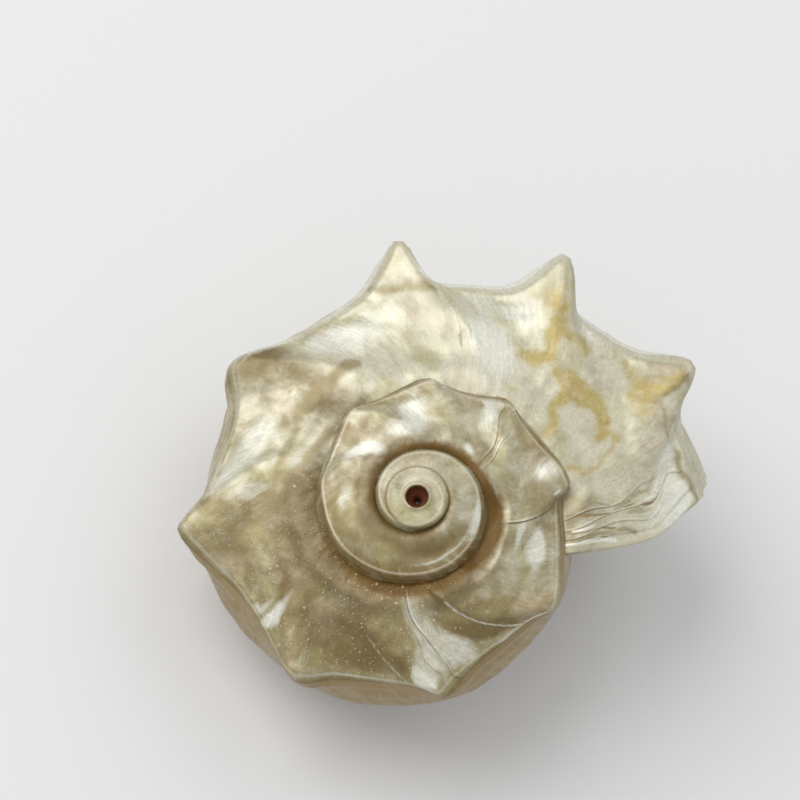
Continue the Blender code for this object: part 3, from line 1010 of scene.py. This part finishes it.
def shell_mesh(pose):
    """The shell as one closed mesh in its own frame, with the points it came from and their masks."""
    angles = ring_angles()
    rows = np.concatenate([knot + np.arange(points) / points for knot, points in enumerate(POINTS_IN_SPAN)])
    wall = wall_points(angles, rows)
    seams = [0, *np.searchsorted(angles, SEAMS), len(angles) - 1]
    lengths = [tube(f"length_{first}", wall[first : last + 1]) for first, last in zip(seams, seams[1:])]
    cavity_angles = np.arange(CAVITY_START, CAVITY_END, CAVITY_RINGS)
    cavity = cavity_points(cavity_angles, np.arange(0.0, len(CAVITY), CAVITY_POINTS))
    ground = block("ground", GROUND, pose.inverted() @ Matrix.Translation((0, 0, -GROUND[2] / 2)))
    joined = [("UNION", length) for length in lengths[:-1]] + [("UNION", turned("disc", DISC_PROFILE))]
    cuts = [("DIFFERENCE", other) for other in (tube("cavity", cavity), turned("hole", HOLE_PROFILE), ground)]
    mesh = combined(lengths[-1], joined + cuts)
    keep_largest(mesh)
    return mesh, wall, cavity, markings(angles, rows, wall)


def nearest(verts, grid):
    """For each vertex, the number of the nearest point of the grid and how far away it is."""
    tree = kdtree.KDTree(grid[..., 0].size)
    for number, point in enumerate(grid.reshape(-1, 3)):
        tree.insert(point, number)
    tree.balance()
    return np.array([tree.find(vert.co)[1:] for vert in verts]).T


def mark(mesh, data, wall, cavity, masks):
    """Gives each vertex the masks of the nearest wall point, and finds those in the tube or the hole."""
    source, to_wall = nearest(mesh.verts, wall)
    _, to_cavity = nearest(mesh.verts, cavity)
    marks = {name: mask.reshape(-1)[source.astype(int)] for name, mask in masks.items()}
    places = np.array([vert.co for vert in mesh.verts])
    radius = np.hypot(places[:, 0], places[:, 1])
    marks["inside"] = to_cavity < to_wall
    marks["hole"] = (radius < HOLE_EDGE) & (places[:, 2] < HOLE_MOUTH)
    marks["radius"] = radius / MM
    for name, values in marks.items():
        layer = data.attributes.new(name, "FLOAT", "POINT")
        layer.data.foreach_set("value", values.astype(np.float32))


def add(tree, kind, inputs=None, **settings):
    made = tree.nodes.new(kind)
    for name, value in settings.items():
        setattr(made, name, value)
    for socket, value in (inputs or {}).items():
        if isinstance(value, bpy.types.NodeSocket):
            tree.links.new(value, made.inputs[socket])
        else:
            made.inputs[socket].default_value = value
    return made


def value_of(tree, name):
    return add(tree, "ShaderNodeAttribute", attribute_name=name).outputs["Fac"]


def maths(tree, operation, first, second=0.0):
    return add(tree, "ShaderNodeMath", {0: first, 1: second}, operation=operation).outputs[0]


def ranged(tree, value, low, high, to_low=0.0, to_high=1.0):
    inputs = {"Value": value, "From Min": low, "From Max": high, "To Min": to_low, "To Max": to_high}
    return add(tree, "ShaderNodeMapRange", inputs, interpolation_type="SMOOTHSTEP").outputs[0]


def mixed(tree, factor, *paints):
    """The first of two paints, and the second where the factor is 1."""
    paints = [paint if isinstance(paint, bpy.types.NodeSocket) else (*paint, 1.0) for paint in paints]
    return add(tree, "ShaderNodeMix", {0: factor, 6: paints[0], 7: paints[1]}, data_type="RGBA").outputs[2]


def speckle(tree, vector, size, detail, roughness=0.5, distortion=0.0):
    inputs = {"Vector": vector, "Scale": 1.0 / size, "Detail": detail, "Roughness": roughness}
    inputs["Distortion"] = distortion
    return add(tree, "ShaderNodeTexNoise", inputs).outputs["Fac"]


def moved(tree, vector, shift):
    """The vector moved by a fixed distance, or by one of a vector socket."""
    return add(tree, "ShaderNodeVectorMath", {0: vector, 1: shift}, operation="ADD").outputs[0]


def shaken(tree, vector, size, distance):
    """The vector moved about by noise, up to half this distance each way."""
    inputs = {"Vector": vector, "Scale": 1.0 / size, "Detail": 2.0}
    stir = add(tree, "ShaderNodeTexNoise", inputs).outputs["Color"]
    stir = moved(tree, stir, (-0.5, -0.5, -0.5))
    return moved(tree, vector, shaded(tree, stir, distance))


def shaded(tree, colour, factor):
    return add(tree, "ShaderNodeVectorMath", {0: colour, "Scale": factor}, operation="SCALE").outputs[0]


def nacre():
    """Polished mother of pearl, with its grown colours, those of wear and dirt, and painted highlights and
    shade.
    """
    material = bpy.data.materials.new("nacre")
    material.use_nodes = True
    tree = material.node_tree
    tree.nodes.clear()

    def times(first, second):
        return maths(tree, "MULTIPLY", first, second)

    def plus(first, second):
        return maths(tree, "ADD", first, second)

    def centred(value):
        return plus(value, -0.5)

    def off(value, shift):
        """How far from 0 a value is after this shift."""
        return maths(tree, "ABSOLUTE", plus(value, shift))

    point = add(tree, "ShaderNodeTexCoord").outputs["Object"]
    drift_size, drift_reach = DRIFT
    drift = times(centred(speckle(tree, point, drift_size * MM, detail=2.0)), drift_reach)
    along = plus(value_of(tree, "along"), drift)
    across = value_of(tree, "across")

    def growth(width, length, detail):
        """Noise drawn out along the growth lines."""
        vector = add(tree, "ShaderNodeCombineXYZ", {0: times(along, 1 / width), 1: times(across, 1 / length)})
        return speckle(tree, vector.outputs[0], 1.0, detail, GROWTH_ROUGHNESS)

    follows = {name: growth(*streaks) for name, streaks in GROWTH_NOISE.items()}
    for name, (size, *settings) in NOISE.items():
        vector = moved(tree, point, TINTS_FROM) if name == "tints" else point
        follows[name] = speckle(tree, vector, size * MM, *settings)
    fine, flecks, mottle, clouds = (follows[name] for name in ("fine", "flecks", "mottle", "clouds"))
    ragged = plus(plus(times(mottle, RAGGED[0]), times(fine, RAGGED[1])), -sum(RAGGED) / 2)
    nicks, past = times(flecks, NICKS), value_of(tree, "past")
    follows |= {name: value_of(tree, name) for name in AS_THEY_ARE}
    # The keel's painted highlight and shade, and the painted shade and highlight at each step, follow these
    # lines.
    follows |= {
        "across": across,
        "ring": off(value_of(tree, "radius"), plus(times(mottle, RING_TEAR), -RING)),
        "rim": off(across, plus(nicks, -KEEL_HIGHLIGHT)),
        "under_keel_shade": off(across, plus(nicks, -UNDER_KEEL_SHADE)),
        "step_foot_shade": off(past, -STEP_SHADE_AT),
        "edge": off(past, -STEP_HIGHLIGHT_AT),
    }

    def factor(name, *limits):
        value = follows[name] if name in follows else plus(value_of(tree, name), ragged)
        return ranged(tree, value, *limits) if limits else value

    def painted(colour, layers):
        for paint, *factors in layers:
            strength = factor(*factors[0])
            for other in factors[1:]:
                strength = times(strength, factor(*other))
            colour = mixed(tree, strength, colour, paint)
        return colour

    clouding = plus(ranged(tree, clouds, *CLOUDING), times(centred(mottle), MOTTLING))
    # Khaki where the shoulder faces away from the key light and cream where it catches it: partly painted
    # light.
    tone = ranged(tree, plus(follows["khaki"], clouding), *TONE)
    colour = painted(mixed(tree, tone, CREAM, KHAKI), LAYERS)
    grain = plus(times(centred(flecks), FLECK_DEPTH), times(centred(fine), STREAK_DEPTH))
    colour = shaded(tree, colour, plus(grain, BODY_SHADE))

    strewn = shaken(tree, point, *(distance * MM for distance in STREWN))
    glints = 0.0
    for cell, rarity, spread in GRAINS:
        grains = add(tree, "ShaderNodeTexVoronoi", {"Vector": strewn, "Scale": 1 / (cell * MM)})
        pick = add(tree, "ShaderNodeSeparateColor", {0: grains.outputs["Color"]}).outputs[0]
        spot = times(maths(tree, "POWER", pick, rarity), spread)
        beyond = maths(tree, "SUBTRACT", grains.outputs["Distance"], spot)
        glints = maths(tree, "MAXIMUM", ranged(tree, beyond, *GRAIN_EDGE), glints)
    grit = value_of(tree, "grit")
    glints = times(glints, grit)
    # Painted glints in the grit.
    colour = mixed(tree, times(glints, GLINT), colour, WHITE)
    lining = shaded(tree, painted(LINING, LINING_LAYERS), plus(grain, 1.0))
    colour = mixed(tree, value_of(tree, "inside"), colour, lining)
    # Painted shade down the hole.
    colour = mixed(tree, value_of(tree, "hole"), colour, HOLE_SHADE)

    rough = ranged(tree, clouds, *ROUGHNESS)
    rough = plus(rough, times(follows["spire"], SPIRE_ROUGH))
    rough = plus(rough, times(factor(*BROWN), BROWN_ROUGH))
    rough = plus(rough, times(centred(flecks), FLECK_ROUGH))
    height = plus(times(fine, FINE_HEIGHT), times(flecks, FLECK_HEIGHT))
    height = plus(height, times(plus(flecks, glints), times(grit, GRIT_HEIGHT)))
    relief_bump = add(tree, "ShaderNodeBump", {"Height": height, "Strength": 0.4, "Distance": BUMP_DISTANCE})
    surface = add(tree, "ShaderNodeBsdfPrincipled", {
        "Base Color": colour,
        "Metallic": ranged(tree, value_of(tree, "brown"), *SHINE),
        "Roughness": rough,
        "IOR": 1.48,
        "Normal": relief_bump.outputs[0],
        "Coat Weight": 0.15,
        "Coat Roughness": 0.2,
        "Subsurface Weight": 0.08,
        "Subsurface Radius": (0.7 * MM, 0.6 * MM, 0.4 * MM),
        "Subsurface Scale": 1.0,
    })
    output = add(tree, "ShaderNodeOutputMaterial")
    tree.links.new(surface.outputs[0], output.inputs["Surface"])
    return material


def plain(name, colour, roughness):
    material = bpy.data.materials.new(name)
    material.use_nodes = True
    surface = material.node_tree.nodes["Principled BSDF"]
    surface.inputs["Base Color"].default_value = (*colour, 1.0)
    surface.inputs["Roughness"].default_value = roughness
    return material


def softbox(name, towards, distance, size, watts, target):
    """A square light that faces the target from the direction given."""
    data = bpy.data.lights.new(name, "AREA")
    data.shape = "SQUARE"
    data.size = size
    data.energy = watts
    light = bpy.data.objects.new(name, data)
    away = Vector(towards).normalized()
    light.location = target + away * distance
    light.rotation_euler = away.to_track_quat("Z", "Y").to_euler()
    bpy.context.scene.collection.objects.link(light)


def camera(pose):
    """Looks down on the spire, a little off its axis."""
    tilt, towards = math.radians(VIEW_TILT), math.radians(-VIEW_TOWARDS)
    away = Vector((math.sin(tilt) * math.cos(towards), math.sin(tilt) * math.sin(towards), math.cos(tilt)))
    up = (Vector((0, 1, 0)) - away * away.y).normalized()
    right = up.cross(away)
    data = bpy.data.cameras.new("camera")
    data.lens = LENS
    data.clip_start = NEAREST
    made = bpy.data.objects.new("camera", data)
    turn = Matrix((right, up, away)).transposed().to_4x4()
    made.matrix_world = pose @ Matrix.Translation(Vector(VIEW_TARGET) + away * VIEW_DISTANCE) @ turn
    bpy.context.scene.collection.objects.link(made)
    bpy.context.scene.camera = made


low, high = (Vector(corner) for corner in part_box("shell"))
middle = (low + high) / 2
apex = Vector((middle.x + APEX_FROM_MIDDLE[0], middle.y + APEX_FROM_MIDDLE[1], low.z + APEX_HEIGHT))
below = Vector((middle.x, middle.y, low.z))
lean_axis = (-math.sin(LEAN_TOWARDS), math.cos(LEAN_TOWARDS), 0.0)
laid_down = Matrix.Translation(apex) @ Matrix.Rotation(LEAN, 4, Vector(lean_axis))

mesh, wall, cavity, masks = shell_mesh(laid_down)
data = bpy.data.meshes.new("pearled_shell")
mesh.to_mesh(data)
mark(mesh, data, wall, cavity, masks)
mesh.free()
data.transform(laid_down)
data.shade_smooth()
data.set_sharp_from_angle(angle=SHARP_ANGLE)
shell = bpy.data.objects.new("pearled_shell", data)
bpy.context.scene.collection.objects.link(shell)
shell.data.materials.append(nacre())
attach(shell, "root")
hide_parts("shell")

camera(laid_down)
for light in SOFTBOXES:
    softbox(*light, below)
world = bpy.data.worlds.new("studio")
world.use_nodes = True
world.node_tree.nodes["Background"].inputs["Color"].default_value = STUDIO
bpy.context.scene.world = world
bpy.context.scene.view_settings.view_transform = "Standard"

floor_mesh = bmesh.new()
bmesh.ops.create_grid(floor_mesh, x_segments=1, y_segments=1, size=FLOOR_REACH)
floor = mesh_object("floor", floor_mesh)
floor.location = (0, 0, low.z)
floor.data.materials.append(plain("floor", FLOOR_COLOUR, FLOOR_ROUGHNESS))
